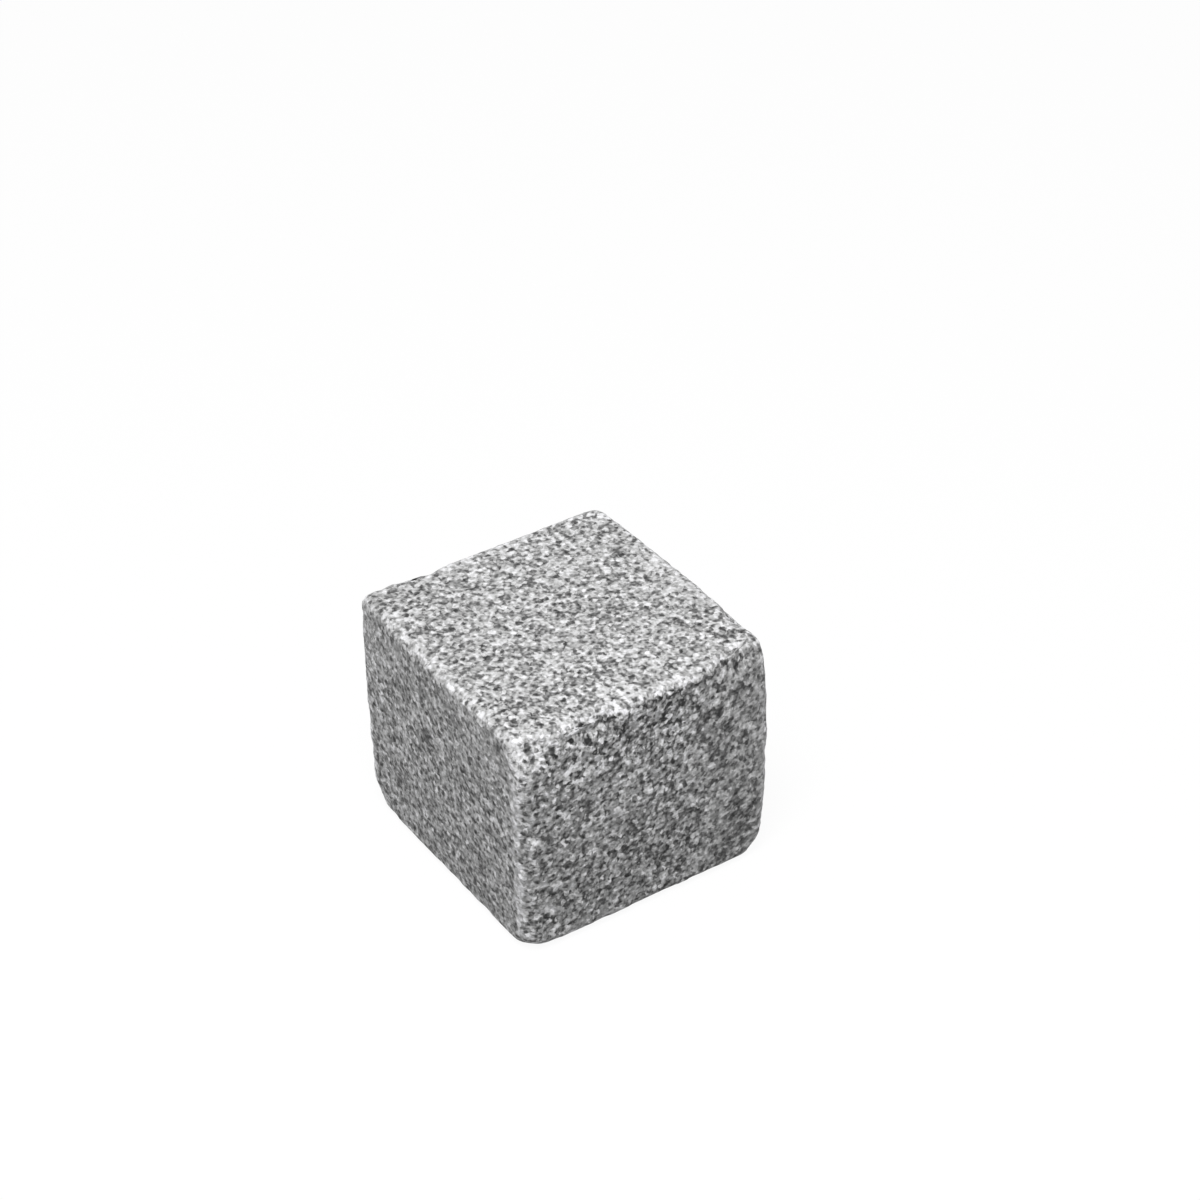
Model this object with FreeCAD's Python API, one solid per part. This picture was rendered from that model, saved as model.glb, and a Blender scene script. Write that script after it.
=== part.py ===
"""Granite sett: one cube of stone with a flat head, four cleft sides and a flat bed.

The stone stands on its bed. The origin is under its middle, at the bed, +Z is up and -Y is the front.
All sizes are in millimetres and all angles in degrees.
"""

import FreeCAD, Part
import math
import os
from collections import namedtuple
from FreeCAD import Vector

NODE = "sett"

# Block, measured at the head between its sharp corners, before the arrises are worn round
LENGTH = 102.0
WIDTH = 105.4
HEIGHT = 92.2

# How far the foot of each side leans in under the head
FRONT_BATTER = 0.2
RIGHT_BATTER = 0.4
BACK_BATTER = 0.8
LEFT_BATTER = 2.0

# How far each side stands out half way up, past a straight line from bed to head
FRONT_BELLY = 0.8
RIGHT_BELLY = 2.2
BACK_BELLY = 0.6
LEFT_BELLY = 0.4

# How far the middle of each side stands out of the straight line between its two corners
FRONT_BOW = 0.3
RIGHT_BOW = 1.2
BACK_BOW = -0.5
LEFT_BOW = 0.3

# How far each side is turned out of square in plan, half way up
FRONT_SKEW = 0.7
RIGHT_SKEW = 0.2
BACK_SKEW = -0.5
LEFT_SKEW = -0.6

# How far each side winds from its foot to the head
FRONT_WIND = 1.4
RIGHT_WIND = -0.4
BACK_WIND = 0.6
LEFT_WIND = -0.8

# Radii of the four upright arrises, which are worn round
FRONT_RIGHT_ARRIS = 4.5
BACK_RIGHT_ARRIS = 5.5
BACK_LEFT_ARRIS = 4.5
FRONT_LEFT_ARRIS = 4.2

# How far the rim of the head is worn back and the rim of the bed is broken away
HEAD_ARRIS = 2.1
BED_ARRIS = 2.2

# Outlines that the body is lofted through, bed and head included
OUTLINES = 5

# Shares of the height that a blow is aimed at: most of them, and those that left a steep scar under the head
MIDDLE = 0.5
STEEP = 0.8

# How far outside the body the search for the face under a spall starts
CLEAR = 30.0

# A side of the block: the direction that it faces, its distance from the middle, and how it departs
# from a plane
Side = namedtuple("Side", "facing reach batter belly bow skew wind")
# A flake lost from an arris: the side that it lies on, its place as shares of that side's width and height,
# how long and how deep its hollow is, and the share of the height that the blow was aimed at
Spall = namedtuple("Spall", "side across up length depth level", defaults=[MIDDLE])

FRONT, RIGHT, BACK, LEFT = range(4)

SIDES = [
    Side(-90, WIDTH / 2, FRONT_BATTER, FRONT_BELLY, FRONT_BOW, FRONT_SKEW, FRONT_WIND),
    Side(0, LENGTH / 2, RIGHT_BATTER, RIGHT_BELLY, RIGHT_BOW, RIGHT_SKEW, RIGHT_WIND),
    Side(90, WIDTH / 2, BACK_BATTER, BACK_BELLY, BACK_BOW, BACK_SKEW, BACK_WIND),
    Side(180, LENGTH / 2, LEFT_BATTER, LEFT_BELLY, LEFT_BOW, LEFT_SKEW, LEFT_WIND),
]
# The arris at the far end of each side, going round from the front
ARRISES = [FRONT_RIGHT_ARRIS, BACK_RIGHT_ARRIS, BACK_LEFT_ARRIS, FRONT_LEFT_ARRIS]

SPALLS = [
    # Corner of the head at the front left, and the three hollows along the front rim of the head
    Spall(FRONT, 0.0, 1.0, 18.5, 1.9),
    Spall(FRONT, 0.13, 1.0, 12.0, 0.9, STEEP),
    Spall(FRONT, 0.37, 1.0, 17.0, 1.1, STEEP),
    Spall(FRONT, 0.8, 1.0, 12.0, 0.8, STEEP),
    # Left rim of the head
    Spall(LEFT, 0.42, 1.0, 14.0, 0.8),
    # Front left upright arris, at half height and near the bed
    Spall(FRONT, 0.0, 0.56, 20.0, 1.0),
    Spall(FRONT, 0.0, 0.24, 14.0, 0.8),
    # Worn corners of the bed, the back left one struck away the furthest
    Spall(FRONT, 0.0, 0.0, 21.0, 2.7),
    Spall(FRONT, 1.0, 0.0, 21.0, 2.7),
    Spall(LEFT, 0.0, 0.0, 29.0, 4.4),
    Spall(BACK, 0.0, 0.0, 21.0, 2.7),
    # Right and back rims of the head, and the back right upright arris
    Spall(RIGHT, 0.25, 1.0, 10.0, 0.6),
    Spall(BACK, 0.68, 1.0, 12.0, 0.6),
    Spall(RIGHT, 1.0, 0.45, 22.0, 1.2),
]


def unit(angle):
    """The level unit vector at an angle from +X."""
    turn = math.radians(angle)
    return Vector(math.cos(turn), math.sin(turn), 0)


def reach_at(side, share):
    """How far a side is from the middle at a share of the height, with its batter and its belly."""
    return side.reach - side.batter * (1 - share) + side.belly * math.sin(math.pi * share)


def heading_at(side, share):
    """The direction that a side runs in, anticlockwise round the block, at a share of the height."""
    return side.facing + 90 + side.skew + side.wind * (share - 0.5)


def corner(index, share):
    """Where the straight lines of a side and of the next one cross at a share of the height."""
    side, following = SIDES[index], SIDES[(index + 1) % len(SIDES)]
    start = unit(side.facing) * reach_at(side, share)
    goal = unit(following.facing) * reach_at(following, share)
    along = unit(heading_at(side, share))
    across = unit(heading_at(following, share))
    gap = goal - start
    run = (gap.x * across.y - gap.y * across.x) / (along.x * across.y - along.y * across.x)
    return start + along * run + Vector(0, 0, HEIGHT * share)


def outline(share):
    """The closed outline of the block at a share of the height: four bowed sides joined by tangent arcs."""
    count = len(SIDES)
    corners = [corner(index, share) for index in range(count)]
    leaving, arriving = [], []
    for index, side in enumerate(SIDES):
        chord = corners[index] - corners[index - 1]
        heading = heading_at(side, share)
        swing = math.degrees(4 * side.bow / chord.Length)
        leaving.append(unit(heading - swing))
        arriving.append(unit(heading + swing))
    starts, ends, arcs = [], [], []
    for index, radius in enumerate(ARRISES):
        inward, outward = arriving[index], leaving[(index + 1) % count]
        turn = inward.getAngle(outward)
        reach = radius * math.tan(turn / 2)
        ends.append(corners[index] - inward * reach)
        starts.append(corners[index] + outward * reach)
        inside = (outward - inward).normalize()
        middle = corners[index] + inside * (radius / math.cos(turn / 2) - radius)
        arcs.append(Part.Arc(ends[index], middle, starts[index]).toShape())
    edges = []
    for index in range(count):
        first, last = starts[index - 1], ends[index]
        third = (last - first).Length / 3
        curve = Part.BezierCurve()
        curve.setPoles([first, first + leaving[index] * third, last - arriving[index] * third, last])
        edges += [curve.toShape(), arcs[index]]
    return Part.Wire(edges)


def rim(block, level, near):
    """The edges of the block that lie nearer than a distance to a level."""
    low, high = level - near, level + near
    return [edge for edge in block.Edges if low < edge.BoundBox.ZMin and edge.BoundBox.ZMax < high]


def body():
    """The block, lofted from its bed to its head, with the rims of both worn back."""
    shares = [step / (OUTLINES - 1) for step in range(OUTLINES)]
    block = Part.makeLoft([outline(share) for share in shares], True, False)
    block = block.makeChamfer(BED_ARRIS, rim(block, 0, BED_ARRIS))
    return block.makeChamfer(HEAD_ARRIS, rim(block, HEIGHT, HEAD_ARRIS))


def hollow(block, spall):
    """The ball that takes a spall's flake out of the block, struck towards the block's upright axis."""
    first = corner(spall.side - 1, spall.up)
    last = corner(spall.side, spall.up)
    aim = first + (last - first) * spall.across
    outward = (aim - Vector(0, 0, HEIGHT * spall.level)).normalize()
    path = Part.makeLine(aim + outward * CLEAR, aim - outward * CLEAR).common(block)
    face = max((vertex.Point for vertex in path.Vertexes), key=lambda point: point.dot(outward))
    radius = ((spall.length / 2) ** 2 + spall.depth ** 2) / (2 * spall.depth)
    return Part.makeSphere(radius, face + outward * (radius - spall.depth))


def sett():
    """The block without its lost flakes, stood with its bed at Z zero and its middle over the origin."""
    block = body()
    stone = block.cut([hollow(block, spall) for spall in SPALLS]).Solids[0]
    box = stone.optimalBoundingBox()
    stone.translate(Vector(-box.Center.x, -box.Center.y, -box.ZMin))
    return stone


def main():
    """Builds the sett and writes it to parts/."""
    stone = sett()
    os.makedirs("parts", exist_ok=True)
    stone.exportStep(os.path.join("parts", NODE + ".step"))
    box = stone.optimalBoundingBox()
    print(f"{NODE}: {box.XLength:.2f} x {box.YLength:.2f} x {box.ZLength:.2f} mm, {stone.Volume:.0f} mm3")


main()
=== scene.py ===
"""Looks of a granite sett: a cube of stone with a flat head, four cleft sides and a flat bed.

The stone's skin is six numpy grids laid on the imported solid, then cleft, roughened, nicked and worn. Its
finish is a material of white and grey crystals with black flecks. Lengths are in millimetres until the
mesh is made.
"""

from __future__ import annotations

import logging
import math
from dataclasses import astuple, dataclass
from enum import Enum, IntEnum
from typing import Any

import bpy
import numpy as np
from mathutils import Matrix, Vector

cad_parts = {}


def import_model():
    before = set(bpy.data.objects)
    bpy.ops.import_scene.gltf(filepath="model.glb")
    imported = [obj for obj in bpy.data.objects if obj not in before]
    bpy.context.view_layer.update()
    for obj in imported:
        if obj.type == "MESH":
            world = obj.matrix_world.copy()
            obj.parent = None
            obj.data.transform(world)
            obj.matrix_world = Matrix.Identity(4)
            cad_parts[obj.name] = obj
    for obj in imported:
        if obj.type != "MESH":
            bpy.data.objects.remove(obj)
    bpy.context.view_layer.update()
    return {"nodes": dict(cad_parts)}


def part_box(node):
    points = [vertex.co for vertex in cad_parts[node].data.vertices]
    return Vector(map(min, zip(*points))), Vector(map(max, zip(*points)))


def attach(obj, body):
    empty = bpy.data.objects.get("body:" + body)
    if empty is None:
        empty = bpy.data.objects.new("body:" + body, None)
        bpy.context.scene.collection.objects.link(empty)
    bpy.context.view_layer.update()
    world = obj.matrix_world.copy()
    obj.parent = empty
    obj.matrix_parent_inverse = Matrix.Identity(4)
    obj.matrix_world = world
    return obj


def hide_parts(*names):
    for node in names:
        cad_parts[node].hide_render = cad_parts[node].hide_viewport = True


log = logging.getLogger("sett")

NODE = "sett"
BODY = "root"
SLOT = "granite"
METRES = 0.001
# Least number to divide by
TINY = 0.01

Array = np.ndarray
Span = tuple[float, float]
Place = tuple[float, float, float]
Stops = tuple[tuple[float, Place], ...]


class Operation(Enum):
    """Sums that a shader's Math node does."""

    ADD = "ADD"
    SUBTRACT = "SUBTRACT"
    MULTIPLY = "MULTIPLY"
    LESSER = "MINIMUM"


class Attribute(Enum):
    """What the skin's mesh keeps for its material, one number at each corner."""

    WEAR = "wear"
    RELIEF = "relief"
    CONTRAST = "contrast"
    # Darker tone: the faces' own dullness, and painted shade in hollows, under the front rim of the head and
    # towards the foot
    DULLNESS = "dullness"


class Axis(IntEnum):
    """The part's axes, as columns of an array of places."""

    X = 0
    Y = 1
    Z = 2


class Side(IntEnum):
    """The stone's faces, in the order of FACES."""

    FRONT = 0
    RIGHT = 1
    BACK = 2
    LEFT = 3
    BED = 4
    HEAD = 5


def ramp_up(value: Array, span: Span) -> Array:
    """Smooth step: nought at the span's start, one at its end, and 3t² - 2t³ between them.

    Args:
        value: The numbers to judge.
        span: Where the step starts and ends. It falls where the start is above the end.

    Returns:
        The step at each number.
    """
    start, end = span
    t = np.clip((value - start) / (end - start), 0.0, 1.0)
    return t * t * (3.0 - 2.0 * t)


@dataclass(frozen=True)
class Waves:
    """Sets of waves: the longest, how many there are, how each is lower than the last, and their shift."""

    length: float
    sets: int
    gain: float
    shift: float


class Noise:
    """Seeded noise in space, for whole arrays of points in millimetres."""

    SIZE = 256
    # What brings the blended slopes to heights from about -1 to 1
    STRETCH = 1.6
    # How far from each other the sets of waves are read
    APART = 17.3

    def __init__(self, seed: int) -> None:
        """Shuffles the table of lattice points and draws a direction and a spot for each.

        Args:
            seed: Start of the random draws.
        """
        draw = np.random.default_rng(seed)
        self.order = draw.permutation(self.SIZE)
        ways = draw.normal(size=(self.SIZE, 3))
        self.ways = ways / np.linalg.norm(ways, axis=1, keepdims=True)
        self.spots = draw.random((self.SIZE, 3))

    def pick(self, cell: Array) -> Array:
        """The table's entry for each whole-numbered lattice point."""
        x, y, z = (cell[..., axis] % self.SIZE for axis in Axis)
        return self.order[(self.order[(self.order[x] + y) % self.SIZE] + z) % self.SIZE]

    def slopes(self, points: Array, length: float) -> Array:
        """Gradient noise: each lattice point slopes its own way, and the eight nearest are blended.

        From one point to the next along an axis, the blend goes by 6t⁵ - 15t⁴ + 10t³.

        Args:
            points: Places, one row each.
            length: Distance between lattice points.

        Returns:
            Heights from about -1 to 1, nought on average.
        """
        place = points / length
        cell = np.floor(place).astype(int)
        part = place - cell
        blend = part**3 * (part * (part * 6.0 - 15.0) + 10.0)
        total = np.zeros(len(points))
        for corner in np.ndindex(2, 2, 2):
            offset = np.array(corner)
            slope = self.ways[self.pick(cell + offset)]
            share = np.where(offset, blend, 1.0 - blend).prod(axis=1)
            total += share * (slope * (part - offset)).sum(axis=1)
        return total * self.STRETCH

    def rough(self, points: Array, waves: Waves) -> Array:
        """Sets of waves added up, each half as long as the last and lower by the gain.

        Args:
            points: Places, one row each.
            waves: The sets.

        Returns:
            Heights from about -1 to 1.
        """
        start = points + waves.shift
        total = np.zeros(len(points))
        for turn in range(waves.sets):
            total += waves.gain**turn * self.slopes(start + self.APART * turn, waves.length * 0.5**turn)
        return total

    def nearest(self, points: Array, size: float) -> tuple[Array, Array]:
        """Cellular noise: how far each place is from the nearest of the scattered spots, and which it is.

        Args:
            points: Places, one row each.
            size: Average distance between spots.

        Returns:
            The distance in spot spacings, and the spot's entry in the table.
        """
        place = points / size
        cell = np.floor(place).astype(int)
        best = np.full(len(points), np.inf)
        entry = np.zeros(len(points), int)
        for corner in np.ndindex(3, 3, 3):
            near = cell + np.array(corner) - 1
            chosen = self.pick(near)
            distance = np.linalg.norm(place - near - self.spots[chosen], axis=1)
            closer = distance < best
            best = np.where(closer, distance, best)
            entry = np.where(closer, chosen, entry)
        return best, entry


@dataclass(frozen=True)
class Skin:
    """A closed surface of square faces: its corners and which four each face joins."""

    points: Array
    quads: Array

    def normals(self) -> Array:
        """Unit normals at the corners: the crossed diagonals of the faces round each, added up.

        Returns:
            One row for each corner.
        """
        a, b, c, d = (self.points[self.quads[:, turn]] for turn in range(4))
        face = np.cross(c - a, d - b)
        total = np.zeros_like(self.points)
        for turn in range(4):
            for axis in Axis:
                total[:, axis] += np.bincount(self.quads[:, turn], face[:, axis], len(self.points))
        return total / np.linalg.norm(total, axis=1, keepdims=True)

    def averaged(self, values: Array) -> Array:
        """The mean over each corner's neighbours along the faces' edges.

        Args:
            values: One row for each corner.

        Returns:
            The means, in the same shape.
        """
        start = self.quads.ravel()
        end = np.roll(self.quads, -1, axis=1).ravel()
        count = np.bincount(start, minlength=len(values)) + np.bincount(end, minlength=len(values))
        columns = values.reshape(len(values), -1)
        means = np.empty_like(columns)
        for column in range(columns.shape[1]):
            there = np.bincount(start, columns[end, column], len(values))
            back = np.bincount(end, columns[start, column], len(values))
            means[:, column] = (there + back) / count
        return means.reshape(values.shape)

    def smoothed(self, values: Array, passes: int) -> Array:
        """Values blended half and half with their neighbours' mean, a number of times over.

        Args:
            values: One row for each corner.
            passes: How many times.

        Returns:
            The blended values.
        """
        for _ in range(passes):
            values = 0.5 * values + 0.5 * self.averaged(values)
        return values

    def moved(self, points: Array) -> Skin:
        """The same faces on other corners."""
        return Skin(points, self.quads)

    def piece(self, name: str) -> bpy.types.Object:
        """A mesh object made from the skin, in metres, at the origin.

        Args:
            name: The object's name.

        Returns:
            The object, in the scene.
        """
        mesh = bpy.data.meshes.new(name)
        mesh.from_pydata(self.points * METRES, [], self.quads)
        mesh.polygons.foreach_set("use_smooth", np.ones(len(self.quads), bool))
        mesh.update()
        made = bpy.data.objects.new(name, mesh)
        bpy.context.scene.collection.objects.link(made)
        return made


@dataclass(frozen=True)
class Texture:
    """How a stretch of stone looks: the contrast of its grain, and how dull it is or how much shade is
    painted on it.
    """

    contrast: float = 0.0
    dullness: float = 0.0


@dataclass(frozen=True)
class Face:
    """One of the stone's faces: the way that it faces, its relief, its crumbled rims and its texture."""

    way: Place
    relief: float
    crumble: float
    texture: Texture


FACES = (
    Face((0.0, -1.0, 0.0), relief=1.0, crumble=1.0, texture=Texture(1.0, -0.15)),
    Face((1.0, 0.0, 0.0), relief=0.85, crumble=0.6, texture=Texture(0.9)),
    Face((0.0, 1.0, 0.0), relief=0.9, crumble=0.2, texture=Texture(0.9)),
    Face((-1.0, 0.0, 0.0), relief=0.65, crumble=0.5, texture=Texture(0.88)),
    Face((0.0, 0.0, -1.0), relief=0.5, crumble=0.2, texture=Texture(0.8)),
    Face((0.0, 0.0, 1.0), relief=0.4, crumble=0.0, texture=Texture(1.0, 0.35)),
)


@dataclass(frozen=True)
class Survey:
    """What is known at each corner of the eased skin, before its relief is cut.

    It holds the way that the corner faced on the blank, the skin's normal there, its share of each face, how
    far it is in the rim of the bed, from nought to one, and waves that make patches.
    """

    skin: Skin
    facing: Array
    normals: Array
    shares: Array
    foot: Array
    patches: Array


@dataclass(frozen=True)
class Part:
    """A part of a face, or of them all, and what its texture adds.

    It comes in over a span along an axis, and over a span of depth under the head.
    """

    side: Side | None
    adds: Texture
    axis: Axis = Axis.X
    along: Span | None = None
    down: Span | None = None

    def share(self, survey: Survey, depth: Array) -> Array:
        """How much each corner belongs to the part: the product of its face's share and its steps.

        Args:
            survey: The eased skin.
            depth: How far each corner is under the head.

        Returns:
            A share from nought to one for each corner.
        """
        share = np.ones(len(depth)) if self.side is None else survey.shares[:, self.side]
        if self.along:
            share = share * ramp_up(survey.skin.points[:, self.axis], self.along)
        if self.down:
            share = share * ramp_up(depth, self.down)
        return share


# Spans of X towards either end of the front
LEFT_END = (-20.0, -45.0)
RIGHT_END = (5.0, 35.0)
# Spans of depth under the head, where what is high fades out and the painted shade of the foot comes in
HIGH = (35.0, 12.0)
FOOT = (30.0, 80.0)

PARTS = (
    # The front is liveliest under the middle of the head, and calm and dull at its right end
    Part(Side.FRONT, Texture(contrast=0.4), down=HIGH),
    Part(Side.FRONT, Texture(contrast=-0.3), along=LEFT_END, down=HIGH),
    Part(Side.FRONT, Texture(contrast=-0.3), along=RIGHT_END, down=HIGH),
    Part(Side.FRONT, Texture(-0.32, 0.75), along=RIGHT_END),
    # The left side is calm under the head
    Part(Side.LEFT, Texture(contrast=-0.18), down=(40.0, 12.0)),
    # The head is dullest along its left rim and liveliest along its front rim
    Part(Side.HEAD, Texture(dullness=-0.25), along=(-45.0, -15.0)),
    Part(Side.HEAD, Texture(contrast=-0.09), Axis.Y, along=(-45.0, -10.0)),
    # Painted shade: the whole foot is a little darker, and the front's foot the most
    Part(None, Texture(dullness=0.292), down=FOOT),
    Part(Side.FRONT, Texture(dullness=0.175), down=FOOT),
)


@dataclass(frozen=True)
class Relief:
    """Fine forms of the stone, in millimetres."""

    # Waves over all the faces, lower at the right end of the front and in the rim of the bed
    heave: float = 0.2
    heave_waves: Waves = Waves(38.0, 2, 0.5, 0.0)
    cleft: float = 0.35
    cleft_mean: float = 0.25
    cleft_waves: Waves = Waves(13.0, 3, 0.5, 90.0)
    grit: float = 0.35
    grit_waves: Waves = Waves(3.4, 2, 0.7, 130.0)
    end_loss: float = 0.45
    bed_rim: float = 0.3
    # Crumbs lost along the edges
    crumb: float = 0.45
    crumb_mean: float = 0.5
    crumb_most: float = 1.5
    crumb_reach: Span = (3.0, 0.0)
    crumb_waves: Waves = Waves(7.0, 3, 0.6, 170.0)
    # Nicks a little way in from the edges, whose bowls are measured in spot spacings
    nick: float = 0.75
    nick_size: float = 9.0
    nick_shift: float = 210.0
    nick_missing: float = 0.45
    nick_bowl: Span = (0.7, 0.2)
    nick_near: Span = (2.0, 4.0)
    nick_far: Span = (12.0, 7.0)

    def scale(self, survey: Survey) -> Array:
        """How high the waves are at each corner: as on its face, but lower at the right end of the front.

        Args:
            survey: The eased skin.

        Returns:
            A share of their full height for each corner.
        """
        end = survey.shares[:, Side.FRONT] * ramp_up(survey.skin.points[:, Axis.X], RIGHT_END)
        return survey.shares @ [face.relief for face in FACES] - self.end_loss * end

    def upper(self, survey: Survey) -> Array:
        """One, but less in the rim of the bed."""
        return 1.0 - (1.0 - self.bed_rim) * survey.foot

    def heights(self, survey: Survey, inset: Array, noise: Noise) -> Array:
        """How far the stone stands out of the eased skin.

        Waves heave the faces. Folded waves, a mean less their size, leave clefts, and short waves grit.
        Along the edges crumbs are lost. Nicks are bowls round some of the scattered spots.

        Args:
            survey: The eased skin.
            inset: How far each corner is from the nearest edge.
            noise: Where the waves come from.

        Returns:
            A height for each corner.
        """
        points = survey.skin.points
        height = self.heave * noise.rough(points, self.heave_waves)
        height += self.cleft * (self.cleft_mean - np.abs(noise.rough(points, self.cleft_waves)))
        height += self.grit * noise.rough(points, self.grit_waves)
        height *= self.scale(survey) * self.upper(survey)

        below = survey.shares[:, : Side.HEAD]
        crumble = below @ [face.crumble for face in FACES[: Side.HEAD]] / np.maximum(below.sum(axis=1), TINY)
        crumbs = np.clip(self.crumb_mean + noise.rough(points, self.crumb_waves), 0.0, self.crumb_most)
        height -= self.crumb * crumble * crumbs * ramp_up(inset, self.crumb_reach)

        distance, entry = noise.nearest(points + self.nick_shift, self.nick_size)
        struck = (noise.spots[entry, 1] > self.nick_missing) * (1.0 - survey.shares[:, Side.HEAD]) * crumble
        scoop = ramp_up(distance, self.nick_bowl)
        scoop *= ramp_up(inset, self.nick_near) * ramp_up(inset, self.nick_far)
        return height - self.nick * struck * scoop


@dataclass(frozen=True)
class Wear:
    """Where the stone is worn pale along its edges, and where shade is painted darker
    in its hollows and under the front rim of the head.

    Lengths are in millimetres and turns in degrees. Rises, leans and levels are parts of a unit vector.
    """

    # Shares of worn edges and of sharp places, how far a sharp place stands out, and how far in a hollow goes
    # before it is painted fully dark as shade
    edge_share: float = 0.45
    sharp_share: float = 0.3
    sharp: Span = (0.15, 0.5)
    hollow: Span = (0.0, -0.25)
    # Rim of the head
    edge_low: Span = (0.2, 0.5)
    edge_high: Span = (0.99, 0.93)
    rim_passes: int = 24
    rim_gain: float = 2.2
    rim_rise: Span = (0.35, 0.8)
    rim_lean: Span = (0.2, 0.5)
    rim_front: float = 0.7
    rim_left: float = 0.6
    rim_mean: float = 0.6
    rim_most: float = 1.1
    # Upright arris between the front and the left side
    front_turn: Span = (52.0, 38.0)
    front_swing: float = 14.0
    left_reach: Span = (8.4, 7.4)
    arris_reach: Span = (0.0, 1.0)
    # The other upright arrises
    far_turn: Span = (0.3, 0.7)
    far_level: Span = (0.4, 0.8)
    far_passes: int = 12
    far_gain: float = 1.6
    far_share: float = 0.9
    # Beads along all the upright arrises
    bead_waves: Waves = Waves(5.0, 2, 0.6, 290.0)
    bead_mean: float = 2.2
    bead_swing: float = 2.4
    bead_patches: float = 0.8
    bead_span: Span = (0.2, 3.6)
    bead_rise: Span = (0.5, 0.1)
    # Blotch on the nearest corner of the head
    corner_way: Place = (-0.577, -0.577, 0.577)
    corner_reach: Span = (0.6, 0.25)
    corner_swing: float = 0.25
    corner_mean: float = 1.7
    corner_span: Span = (0.8, 2.2)
    # Painted shade: a dark strip under the front rim of the head
    strip: float = 0.9
    strip_top: Span = (1.5, 3.5)
    strip_foot: Span = (13.0, 6.0)
    strip_span: Span = (0.4, 1.6)
    strip_fade: float = 0.7

    def rim(self, survey: Survey) -> Array:
        """The rim of the head: where the normals rise through its edge, spread over the head beside it.

        Args:
            survey: The eased skin.

        Returns:
            The wear at each corner.
        """
        rise = survey.normals[:, Axis.Z]
        edge = ramp_up(rise, self.edge_low) * ramp_up(rise, self.edge_high)
        spread = np.clip(self.rim_gain * survey.skin.smoothed(edge, self.rim_passes), 0.0, 1.0)
        front = self.rim_front * ramp_up(-survey.facing[:, Axis.Y], self.rim_lean)
        left = self.rim_left * ramp_up(-survey.facing[:, Axis.X], self.rim_lean)
        patches = np.clip(self.rim_mean + survey.patches, 0.0, self.rim_most)
        return spread * ramp_up(rise, self.rim_rise) * (1.0 + front - left) * patches

    def near_arris(self, survey: Survey, rounding: float) -> Array:
        """The upright arris between the front and the left side, up to a ragged line on either.

        How far leftward of the edge a corner lies is the rounding times x less y over the larger of them,
        where x and y are the sizes of its way's parts.

        Args:
            survey: The eased skin.
            rounding: Radius of the blank's edges.

        Returns:
            The wear at each corner, nought or one but for its ragged edges.
        """
        x, y = np.abs(survey.facing[:, Axis.X]), np.abs(survey.facing[:, Axis.Y])
        leftward = rounding * (x - y) / np.maximum(np.maximum(x, y), TINY)
        turn = np.degrees(np.arctan2(-survey.normals[:, Axis.Y], -survey.normals[:, Axis.X]))
        front = ramp_up(turn + self.front_swing * survey.patches, self.front_turn)
        left = ramp_up(leftward + survey.patches, self.left_reach)
        return front * left * ramp_up(leftward, self.arris_reach)

    def far_arrises(self, survey: Survey) -> Array:
        """The other upright arrises: where level normals point between two sides.

        Twice the product of a level normal's parts is the sine of twice its turn, which is one there.

        Args:
            survey: The eased skin.

        Returns:
            The wear at each corner.
        """
        x, y = survey.normals[:, Axis.X], survey.normals[:, Axis.Y]
        level = np.maximum(x**2 + y**2, TINY)
        edge = ramp_up(2.0 * np.abs(x * y) / level, self.far_turn) * ramp_up(level, self.far_level)
        return self.far_share * np.clip(self.far_gain * survey.skin.smoothed(edge, self.far_passes), 0.0, 1.0)

    def arrises(self, survey: Survey, rounding: float, noise: Noise) -> Array:
        """All four upright arrises, with wear in beads.

        Args:
            survey: The eased skin.
            rounding: Radius of the blank's edges.
            noise: Where the beads come from.

        Returns:
            The wear at each corner.
        """
        nearest = (survey.facing[:, Axis.X] < 0.0) & (survey.facing[:, Axis.Y] < 0.0)
        band = np.where(nearest, self.near_arris(survey, rounding), self.far_arrises(survey))
        beads = self.bead_swing * noise.rough(survey.skin.points, self.bead_waves)
        beads = np.clip(self.bead_mean + self.bead_patches * survey.patches + beads, *self.bead_span)
        return band * beads * ramp_up(survey.facing[:, Axis.Z], self.bead_rise)

    def corner(self, survey: Survey) -> Array:
        """The nearest corner of the head: a blotch round the way that the corner faces.

        It fades with the length between that way and the one that a place faces, moved by the patches.

        Args:
            survey: The eased skin.

        Returns:
            The wear at each corner.
        """
        distance = np.linalg.norm(survey.facing - np.array(self.corner_way), axis=1)
        blotch = ramp_up(distance + self.corner_swing * survey.patches, self.corner_reach)
        return blotch * np.clip(self.corner_mean + survey.patches, *self.corner_span)

    def shade(self, survey: Survey, depth: Array) -> Array:
        """Painted shade: a dark strip under the front rim of the head, which fades towards the right.

        It is the product of a step in and a step out down the front, with its patches.

        Args:
            survey: The eased skin.
            depth: How far each corner is under the head.

        Returns:
            The painted shade at each corner.
        """
        strip = ramp_up(depth, self.strip_top) * ramp_up(depth, self.strip_foot)
        fade = 1.0 - self.strip_fade * ramp_up(survey.skin.points[:, Axis.X], RIGHT_END)
        patches = np.clip(1.0 + survey.patches, *self.strip_span)
        return self.strip * strip * fade * patches * survey.shares[:, Side.FRONT]


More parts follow.
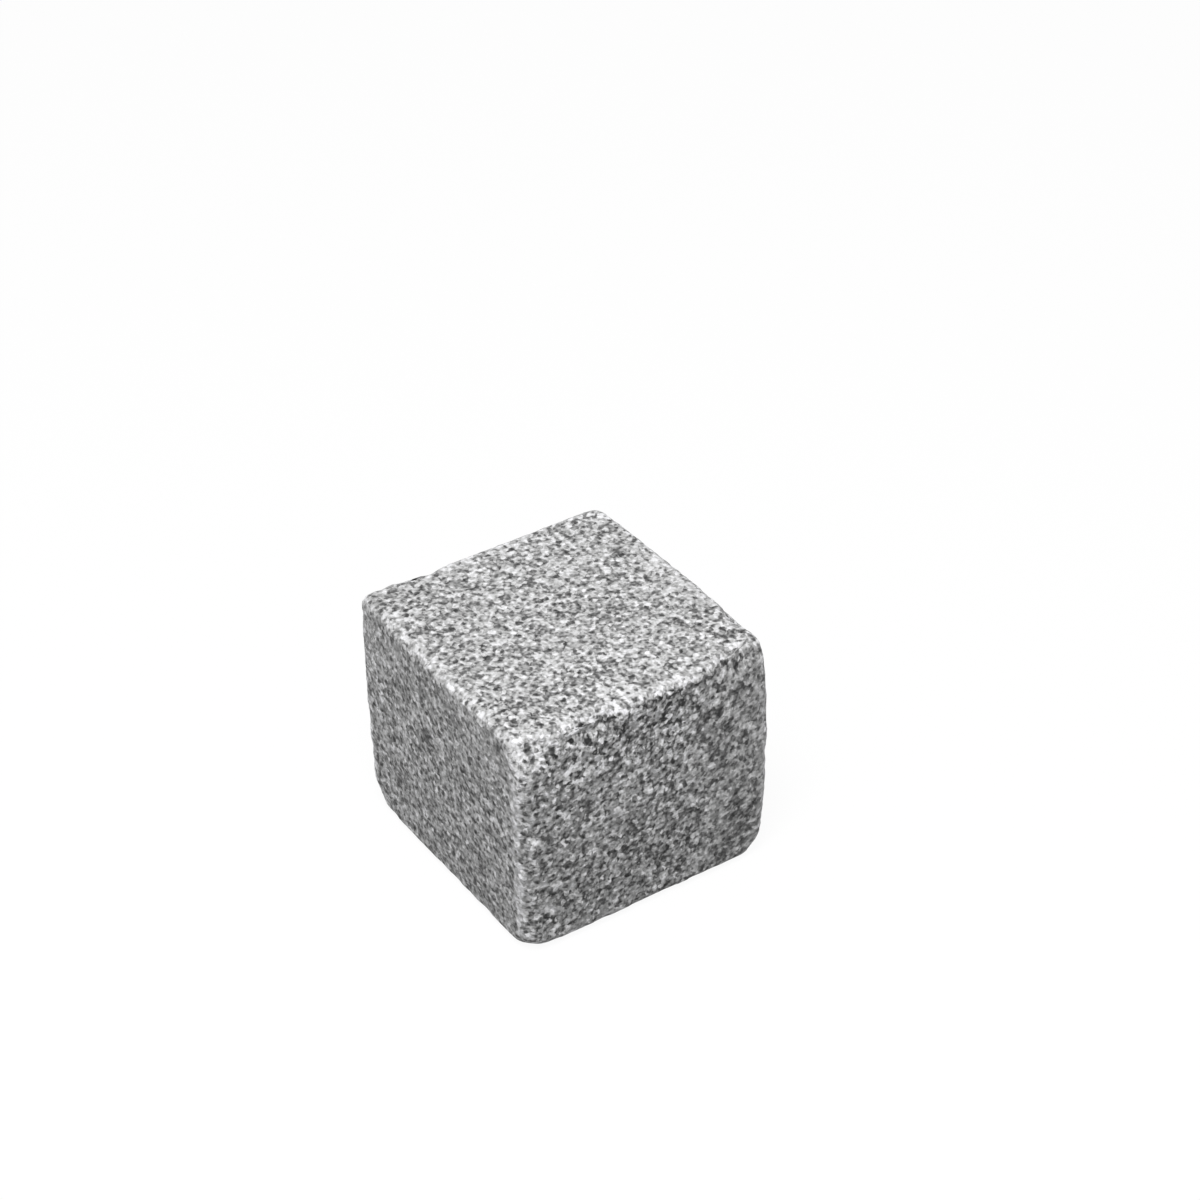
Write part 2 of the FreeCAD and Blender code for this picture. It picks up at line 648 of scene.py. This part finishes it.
@dataclass(frozen=True)
class Sett:
    """The stone: a skin of grids over the solid, with its relief, its wear and its finish."""

    seed: int = 4
    # Divisions along each side of a grid, and how much they crowd towards the arrises
    divisions: int = 128
    crowding: float = 0.25
    # Radius of the blank's edges, and how far out of the solid it starts
    rounding: float = 12.0
    start_clear: float = 4.0
    # Passes that ease the skin over the solid's edges, and more of them round the bed
    easing: int = 6
    foot_easing: int = 14
    foot_lean: Span = (0.1, 0.5)
    # How sharply one face's share gives way to the next one's
    face_power: int = 4
    # Passes that flatten what stands out, so that it can be measured
    bulge_passes: int = 12
    # How near to the side of the box the relief starts to be pressed in
    margin: float = 0.3
    patch_waves: Waves = Waves(9.0, 3, 0.6, 250.0)
    relief: Relief = Relief()
    wear: Wear = Wear()

    def lattice(self) -> Skin:
        """A cube of six square grids in whole numbers, with the points that two grids share merged.

        Each grid is a function of two parameters, u and v, which count its divisions. The third
        coordinate is nought or the number of divisions.

        Returns:
            The cube's skin, whose faces point outwards.
        """
        count = self.divisions + 1
        u, v = np.meshgrid(np.arange(count), np.arange(count), indexing="ij")
        index = np.arange(count * count).reshape(count, count)
        square = np.stack([index[:-1, :-1], index[1:, :-1], index[1:, 1:], index[:-1, 1:]], axis=-1)
        places, faces = [], []
        for axis in Axis:
            for level in (0, self.divisions):
                grid = np.empty((count, count, 3), int)
                grid[..., axis] = level
                grid[..., (axis + 1) % 3] = u
                grid[..., (axis + 2) % 3] = v
                turned = square if level else square[..., ::-1]
                faces.append(turned.reshape(-1, 4) + len(places) * count * count)
                places.append(grid.reshape(-1, 3))
        merged, entry = np.unique(np.concatenate(places), axis=0, return_inverse=True)
        return Skin(merged, entry.ravel()[np.concatenate(faces)])

    def blank(self, low: Array, high: Array) -> tuple[Skin, Array]:
        """A rounded box just outside the solid, and the way that each of its corners faces.

        A lattice coordinate t from -1 to 1 goes to (1 - k)t + k sin(πt / 2), which crowds the grid
        towards the arrises. A point on the box faces away from the nearest point of an inner box.

        Args:
            low: Lowest corner of the solid's box.
            high: Highest corner of the solid's box.

        Returns:
            The skin, and a unit vector for each of its corners.
        """
        cube = self.lattice()
        t = 2.0 * cube.points / self.divisions - 1.0
        spread = (1.0 - self.crowding) * t + self.crowding * np.sin(0.5 * math.pi * t)
        half = (high - low) / 2
        middle = (high + low) / 2
        place = spread * half
        core = np.clip(place, self.rounding - half, half - self.rounding)
        away = place - core
        facing = away / np.linalg.norm(away, axis=1, keepdims=True)
        return cube.moved(middle + place + facing * self.start_clear), facing

    def laid_on(self, skin: Skin, solid: bpy.types.Object) -> Skin:
        """The skin shrunk on to the solid along its own normals.

        Args:
            skin: Closed surface outside the solid.
            solid: The solid's object.

        Returns:
            The skin, with every corner on the solid's faces.
        """
        blank = skin.piece("blank")
        wrap = blank.modifiers.new("wrap", "SHRINKWRAP")
        wrap.target = solid
        wrap.wrap_method = "PROJECT"
        wrap.use_negative_direction = True
        wrap.use_positive_direction = False
        shape = blank.evaluated_get(bpy.context.evaluated_depsgraph_get()).to_mesh()
        places = np.empty(len(shape.vertices) * 3)
        shape.vertices.foreach_get("co", places)
        bpy.data.objects.remove(blank)
        return skin.moved(places.reshape(-1, 3) / METRES)

    def surveyed(self, skin: Skin, facing: Array, noise: Noise) -> Survey:
        """The skin eased over the solid's edges, the most in the rim of the bed, and what is known of it.

        Args:
            skin: Skin that lies on the solid.
            facing: Which way each corner faces.
            noise: Where the patches come from.

        Returns:
            The eased skin, surveyed.
        """
        foot = ramp_up(-facing[:, Axis.Z], self.foot_lean)
        once = skin.smoothed(skin.points, self.easing)
        twice = skin.smoothed(once, self.foot_easing)
        eased = skin.moved(once + (twice - once) * foot[:, None])
        normals = eased.normals()
        patches = noise.rough(eased.points, self.patch_waves)
        return Survey(eased, facing, normals, self.face_shares(normals), foot, patches)

    def face_shares(self, normals: Array) -> Array:
        """How much each corner belongs to each face: a power of the normal's part that way.

        Args:
            normals: Unit normals, one row each.

        Returns:
            A row of shares that add up to one for each corner, in the order of FACES.
        """
        ways = np.array([face.way for face in FACES])
        part = np.maximum(normals @ ways.T, 0.0) ** self.face_power
        return part / part.sum(axis=1, keepdims=True)

    def carved(self, skin: Skin, facing: Array, box: Array) -> tuple[Skin, dict[Attribute, Array]]:
        """The skin with its relief, and how its material varies.

        A corner moves along the way that it faces. It is sharp by how far it then stands out of the skin
        smoothed round it, and hollow where that is below nought, where its colour is painted darker as shade.

        Args:
            skin: Skin that lies on the solid.
            facing: Which way each corner faces.
            box: Lowest and highest corner of the solid's box.

        Returns:
            The carved skin, and what its material reads at each corner.
        """
        noise = Noise(self.seed)
        survey = self.surveyed(skin, facing, noise)
        # On an edge the two largest parts of a way are equal, and on a flat the second of them is nought
        ways = np.sort(np.abs(facing), axis=1)
        inset = self.rounding * (1.0 - ways[:, 1] / ways[:, 2])
        height = self.relief.heights(survey, inset, noise)
        shape = skin.moved(self.kept_inside(survey.skin.points + facing * height[:, None], box))

        depth = box[1, Axis.Z] - shape.points[:, Axis.Z]
        texture = survey.shares @ np.array([astuple(face.texture) for face in FACES])
        for part in PARTS:
            texture += np.outer(part.share(survey, depth), astuple(part.adds))
        contrast, dullness = texture.T

        wear = self.wear
        bulge = shape.points - skin.smoothed(shape.points, self.bulge_passes)
        sharp = (bulge * survey.normals).sum(axis=1)
        edges = wear.rim(survey) + wear.arrises(survey, self.rounding, noise) + wear.corner(survey)
        worn = np.clip(wear.edge_share * edges + wear.sharp_share * ramp_up(sharp, wear.sharp), 0.0, 1.0)
        facts = {
            Attribute.WEAR: worn * self.relief.upper(survey),
            Attribute.RELIEF: self.relief.scale(survey),
            Attribute.CONTRAST: contrast,
            # Painted shade in hollows, under the front rim of the head and towards the foot, added to the
            # faces' dullness
            Attribute.DULLNESS: dullness + wear.shade(survey, depth) + ramp_up(sharp, wear.hollow),
        }
        return shape, facts

    def kept_inside(self, points: Array, box: Array) -> Array:
        """Points pressed softly into a box: x past a margin m inside its face becomes m tanh(x / m).

        Args:
            points: Places, one row each.
            box: Lowest and highest corner of the box.

        Returns:
            The places, none of them outside the box.
        """
        over = np.maximum(points - (box[1] - self.margin), 0.0)
        under = np.maximum((box[0] + self.margin) - points, 0.0)
        points = points - over + self.margin * np.tanh(over / self.margin)
        return points + under - self.margin * np.tanh(under / self.margin)

    def build(self, solid: bpy.types.Object) -> bpy.types.Object:
        """Makes the stone's piece and stands it for the solid.

        Args:
            solid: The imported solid's object.

        Returns:
            The stone, dressed.
        """
        box = np.array(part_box(NODE)) / METRES
        blank, facing = self.blank(*box)
        shape, facts = self.carved(self.laid_on(blank, solid), facing, box)
        stone = shape.piece("stone")
        for name, values in facts.items():
            layer = stone.data.attributes.new(name.value, "FLOAT", "POINT")
            layer.data.foreach_set("value", values.astype(np.float32))
        stone.data.materials.append(Granite().material())
        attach(stone, BODY)
        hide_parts(NODE)
        return stone


class Flow:
    """A number that flows through a material, for use in expressions."""

    def __init__(self, board: Board, socket: bpy.types.NodeSocket) -> None:
        """Keeps the socket that the number comes out of, and the board that its node is on."""
        self.board = board
        self.socket = socket

    def __add__(self, other: Flow | float) -> Flow:
        """Sum."""
        return self.board.sum(Operation.ADD, self, other)

    def __radd__(self, other: float) -> Flow:
        """Sum, with the number first."""
        return self.board.sum(Operation.ADD, other, self)

    def __sub__(self, other: Flow | float) -> Flow:
        """Difference."""
        return self.board.sum(Operation.SUBTRACT, self, other)

    def __rsub__(self, other: float) -> Flow:
        """Difference, with the number first."""
        return self.board.sum(Operation.SUBTRACT, other, self)

    def __mul__(self, other: Flow | float) -> Flow:
        """Product."""
        return self.board.sum(Operation.MULTIPLY, self, other)

    def __rmul__(self, other: float) -> Flow:
        """Product, with the number first."""
        return self.board.sum(Operation.MULTIPLY, other, self)


@dataclass(frozen=True)
class Mottle:
    """Noise in a material: its size in millimetres, how far it swings, and its detail."""

    size: float
    swing: float
    detail: float


class Board:
    """The nodes of one material or world."""

    def __init__(self, tree: bpy.types.NodeTree) -> None:
        """Clears a node tree and works on it."""
        self.tree = tree
        tree.nodes.clear()

    def node(self, kind: str, settings: dict[str, Any], *first: Any, **named: Any) -> bpy.types.Node:
        """Adds a node.

        Args:
            kind: The node's type, without its prefix ShaderNode.
            settings: Its settings. The stops of a ramp are places and colours.
            *first: Values or links of its first sockets, in order.
            **named: Values or links of its sockets by name, with _ for a blank.

        Returns:
            The node.
        """
        node = self.tree.nodes.new("ShaderNode" + kind)
        for name, value in settings.items():
            if name == "stops":
                self.set_stops(node.color_ramp.elements, value)
            else:
                setattr(node, name, value)
        for socket, value in zip(node.inputs, first):
            self.fill(socket, value)
        for name, value in named.items():
            self.fill(node.inputs[name.replace("_", " ")], value)
        return node

    @staticmethod
    def set_stops(elements: bpy.types.ColorRampElements, stops: Stops) -> None:
        """Gives a ramp its stops.

        Args:
            elements: The ramp's own stops.
            stops: Where each stop is, and its colour.
        """
        while len(elements) < len(stops):
            elements.new(1.0)
        for element, (place, colour) in zip(elements, stops):
            element.position = place
            element.color = (*colour, 1.0)

    def fill(self, socket: bpy.types.NodeSocket, value: Any) -> None:
        """Links a socket, or sets its value.

        Args:
            socket: The socket to fill.
            value: A flow or a socket to link, or a plain value.
        """
        if isinstance(value, Flow):
            value = value.socket
        if isinstance(value, bpy.types.NodeSocket):
            self.tree.links.new(value, socket)
        else:
            socket.default_value = value

    def sum(self, operation: Operation, first: Flow | float, second: Flow | float) -> Flow:
        """A Math node on two numbers."""
        return Flow(self, self.node("Math", {"operation": operation.value}, first, second).outputs[0])

    def vector(self, operation: str, *values: Any) -> bpy.types.NodeSocket:
        """The vector that a Vector Math node gives."""
        return self.node("VectorMath", {"operation": operation}, *values).outputs["Vector"]

    def mottled(self, place: bpy.types.NodeSocket, mottle: Mottle) -> Flow:
        """Noise at a place in millimetres, from about minus half its swing to half its swing."""
        node = self.node("TexNoise", {}, Vector=place, Scale=1.0 / mottle.size, Detail=mottle.detail)
        return mottle.swing * (self.flow(node, "Fac") - 0.5)

    def read(self, name: Attribute) -> Flow:
        """What the mesh keeps under a name."""
        return self.flow(self.node("Attribute", {"attribute_name": name.value}), "Fac")

    def flow(self, node: bpy.types.Node, output: str) -> Flow:
        """An output of a node, as a number for expressions."""
        return Flow(self, node.outputs[output])

    def step(self, value: Flow, span: Span) -> Flow:
        """Smooth step from nought to one over a span.

        Args:
            value: The number to judge.
            span: Where the step starts and ends.

        Returns:
            The step.
        """
        settings = {"interpolation_type": "SMOOTHSTEP"}
        node = self.node("MapRange", settings, Value=value, From_Min=span[0], From_Max=span[1])
        return self.flow(node, "Result")


@dataclass(frozen=True)
class Crystals:
    """Crystals of one size, as flows through a material."""

    kind: Flow
    shade: Flow
    near: Flow
    tilt: Flow


# Colours of the stone from its darkest tone to its palest, which is a little blue
GREYS: Stops = (
    (0.0, (0.03, 0.03, 0.03)),
    (0.2, (0.15, 0.15, 0.15)),
    (0.5, (0.5, 0.5, 0.5)),
    (0.8, (0.8, 0.8, 0.815)),
    (1.0, (0.9, 0.9, 0.925)),
)


@dataclass(frozen=True)
class Granite:
    """Fine-grained grey granite: white feldspar, grey quartz and black mica. Sizes are in millimetres."""

    # Tone of the whole, and the size and tones of its crystals
    mean: float = 0.46
    crystal: float = 1.75
    crystal_swing: float = 0.4
    kind_share: float = 0.7
    white: Span = (0.35, 0.65)
    # Black flecks
    fleck: float = 2.7
    fleck_least: float = 0.3
    fleck_reach: Span = (0.15, 0.42)
    fleck_depth: float = 0.75
    # Noise in the tone, and in the height
    lump: Mottle = Mottle(2.05, 1.2, 1.0)
    sand: Mottle = Mottle(1.2, 0.45, 0.0)
    cloud: Mottle = Mottle(14.0, 0.2, 3.0)
    hump: Mottle = Mottle(2.3, 2.2, 2.0)
    # Noise that bends the crystals' edges
    bend: float = 0.9
    bend_size: float = 1.25
    bend_detail: float = 2.0
    # What wear adds to the tone, and what dullness and painted shade take from it
    wear_gain: float = 0.3
    dullness_loss: float = 0.12
    # Heights of the tilted crystals and of the pits at the flecks
    facet_slope: float = 1.4
    pit_depth: float = 0.3
    # Roughness, and how much less of it the grey crystals have
    roughness: float = 0.85
    glint: float = 0.25
    specular: float = 0.3

    def crystals(self, board: Board, place: bpy.types.NodeSocket, size: float) -> Crystals:
        """Scatters crystals of one size, each with its own kind, shade and tilt.

        A crystal's tilt is the height over its middle of a plane that leans its own way: the dot
        product of the way from its middle and its colour less a half.

        Args:
            board: The material's nodes.
            place: Where the surface is, in millimetres.
            size: Distance between the crystals' middles.

        Returns:
            What the crystals give at each place.
        """
        cells = board.node("TexVoronoi", {}, Vector=place, Scale=1.0 / size)
        parts = board.node("SeparateColor", {}, cells.outputs["Color"])
        away = board.vector("SUBTRACT", place, cells.outputs["Position"])
        lean = board.vector("SUBTRACT", cells.outputs["Color"], (0.5, 0.5, 0.5))
        dot = board.node("VectorMath", {"operation": "DOT_PRODUCT"}, away, lean)
        return Crystals(
            board.flow(parts, "Red"),
            board.flow(parts, "Green"),
            board.flow(cells, "Distance"),
            board.flow(dot, "Value"),
        )

    def bent(self, board: Board, place: bpy.types.NodeSocket) -> bpy.types.NodeSocket:
        """The place pushed about by noise, so that crystals laid at it have ragged edges.

        Args:
            board: The material's nodes.
            place: Where the surface is, in millimetres.

        Returns:
            The pushed place.
        """
        scale = 1.0 / self.bend_size
        push = board.node("TexNoise", {}, Vector=place, Scale=scale, Detail=self.bend_detail)
        return board.vector("MULTIPLY_ADD", push.outputs["Color"], (self.bend,) * 3, place)

    def material(self) -> bpy.types.Material:
        """The stone's material.

        Returns:
            A material whose grain is worked out from Object coordinates.
        """
        stone = bpy.data.materials.new(SLOT)
        stone.use_nodes = True
        board = Board(stone.node_tree)
        metres = board.node("TexCoord", {}).outputs["Object"]
        place = board.vector("MULTIPLY", metres, (1.0 / METRES,) * 3)
        bent = self.bent(board, place)

        main = self.crystals(board, bent, self.crystal)
        flecks = self.crystals(board, bent, self.fleck)
        white = board.step(main.kind, self.white)
        dark = self.fleck_least + (1.0 - self.fleck_least) * flecks.kind
        black = dark * (1.0 - board.step(flecks.near, self.fleck_reach))

        kind = self.kind_share * white + (1.0 - self.kind_share) * main.shade - 0.5
        swing = self.crystal_swing * kind + board.mottled(bent, self.lump) + board.mottled(place, self.sand)
        tone = self.mean + swing * board.read(Attribute.CONTRAST) + board.mottled(place, self.cloud)
        tone = tone + self.wear_gain * board.read(Attribute.WEAR)
        # Painted shade: hollows, the strip under the front rim of the head and the foot are darkened here,
        # with the faces' own dullness
        tone = tone - self.dullness_loss * board.read(Attribute.DULLNESS)
        tone = tone * (1.0 - self.fleck_depth * black)
        colour = board.node("ValToRGB", {"stops": GREYS}, tone)

        height = self.facet_slope * main.tilt + board.mottled(bent, self.hump) - self.pit_depth * black
        height = height * board.read(Attribute.RELIEF)
        bump = board.node("Bump", {}, Strength=1.0, Distance=METRES, Height=height)
        gloss = self.roughness - self.glint * (1.0 - white) * main.shade
        surface = board.node(
            "BsdfPrincipled",
            {},
            Base_Color=colour.outputs["Color"],
            Roughness=gloss,
            Normal=bump.outputs["Normal"],
            Specular_IOR_Level=self.specular,
        )
        board.node("OutputMaterial", {}, surface.outputs["BSDF"])
        return stone


@dataclass(frozen=True)
class Studio:
    """A plain pale floor, soft light from above and the camera, in millimetres, degrees and watts."""

    floor_half: float = 4000.0
    floor_colour: float = 0.4
    glow: float = 1.105
    veil: float = 0.85
    ambient: float = 0.42
    lamp_power: float = 14.0
    lamp_size: float = 450.0
    lamp_place: Place = (-385.0, -370.0, 1230.0)
    lamp_aim: Place = (0.0, 0.0, 45.0)
    lens: float = 88.9
    sensor: float = 36.0
    azimuth: float = -33.991
    elevation: float = 35.697
    roll: float = -0.294
    distance: float = 1188.2
    aim: Place = (88.33, 108.51, 0.0)

    @staticmethod
    def seen(board: Board) -> Flow:
        """One for a ray that shows the background to the camera, straight, mirrored or refracted.

        Args:
            board: Nodes of what the ray reaches.

        Returns:
            One or nought.
        """
        path = board.node("LightPath", {})
        direct = board.flow(path, "Is Camera Ray")
        mirrored = board.flow(path, "Is Glossy Ray")
        refracted = board.flow(path, "Is Transmission Ray")
        return board.sum(Operation.LESSER, direct + mirrored + refracted, 1.0)

    def floor(self) -> bpy.types.Object:
        """A square plane whose white veils most of the shadow that it catches.

        Returns:
            The plane.
        """
        half = self.floor_half
        square = np.array([(-half, -half, 0.0), (half, -half, 0.0), (half, half, 0.0), (-half, half, 0.0)])
        floor = Skin(square, np.array([[0, 1, 2, 3]])).piece("floor")
        pale = bpy.data.materials.new("floor")
        pale.use_nodes = True
        board = Board(pale.node_tree)
        matt = board.node("BsdfDiffuse", {}, Color=(*(self.floor_colour,) * 3, 1.0))
        white = board.node("Emission", {}, Strength=self.glow)
        veil = self.veil * self.seen(board)
        mixed = board.node("MixShader", {}, veil, matt.outputs["BSDF"], white.outputs["Emission"])
        board.node("OutputMaterial", {}, mixed.outputs["Shader"])
        floor.data.materials.append(pale)
        return floor

    def world(self) -> bpy.types.World:
        """Even light from all round, seen as white.

        Returns:
            The world.
        """
        world = bpy.data.worlds.new("room")
        world.use_nodes = True
        board = Board(world.node_tree)
        strength = self.ambient + (1.0 - self.ambient) * self.seen(board)
        sky = board.node("Background", {}, Color=(1.0, 1.0, 1.0, 1.0), Strength=strength)
        board.node("OutputWorld", {}, sky.outputs["Background"])
        bpy.context.scene.world = world
        return world

    def lamp(self) -> bpy.types.Object:
        """A square softbox above the stone, turned towards its middle.

        Returns:
            The lamp.
        """
        light = bpy.data.lights.new("softbox", "AREA")
        light.shape = "SQUARE"
        light.size = self.lamp_size * METRES
        light.energy = self.lamp_power
        lamp = bpy.data.objects.new("softbox", light)
        lamp.location = Vector(self.lamp_place) * METRES
        way = Vector(self.lamp_aim) - Vector(self.lamp_place)
        lamp.rotation_euler = way.to_track_quat("-Z", "Y").to_euler()
        bpy.context.scene.collection.objects.link(lamp)
        return lamp

    def camera(self) -> bpy.types.Object:
        """A camera at the photograph's angle, with its framing.

        Returns:
            The camera.
        """
        lens = bpy.data.cameras.new("camera")
        lens.sensor_width = self.sensor
        lens.lens = self.lens
        camera = bpy.data.objects.new("camera", lens)
        a, e, r = (math.radians(angle) for angle in (self.azimuth, self.elevation, self.roll))
        back = Vector((math.sin(a) * math.cos(e), -math.cos(a) * math.cos(e), math.sin(e)))
        level = Vector((math.cos(a), math.sin(a), 0.0))
        right = level * math.cos(r) + back.cross(level) * math.sin(r)
        place = (Vector(self.aim) + back * self.distance) * METRES
        turn = Matrix((right, back.cross(right), back)).transposed().to_4x4()
        camera.matrix_world = Matrix.Translation(place) @ turn
        bpy.context.scene.collection.objects.link(camera)
        bpy.context.scene.camera = camera
        return camera

    def build(self) -> None:
        """Makes the floor, the light and the camera, and keeps colours as they are written."""
        made = (self.floor(), self.world(), self.lamp(), self.camera())
        log.info("studio: %s", ", ".join(item.name for item in made))
        bpy.context.scene.view_settings.view_transform = "Standard"


def main() -> None:
    """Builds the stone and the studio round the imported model."""
    logging.basicConfig(level=logging.INFO, format="%(name)s: %(message)s")
    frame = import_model()
    Studio().build()
    stone = Sett().build(frame["nodes"][NODE])
    log.info("%s: %d faces", stone.name, len(stone.data.polygons))
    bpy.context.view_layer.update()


if __name__ == "__main__":
    main()
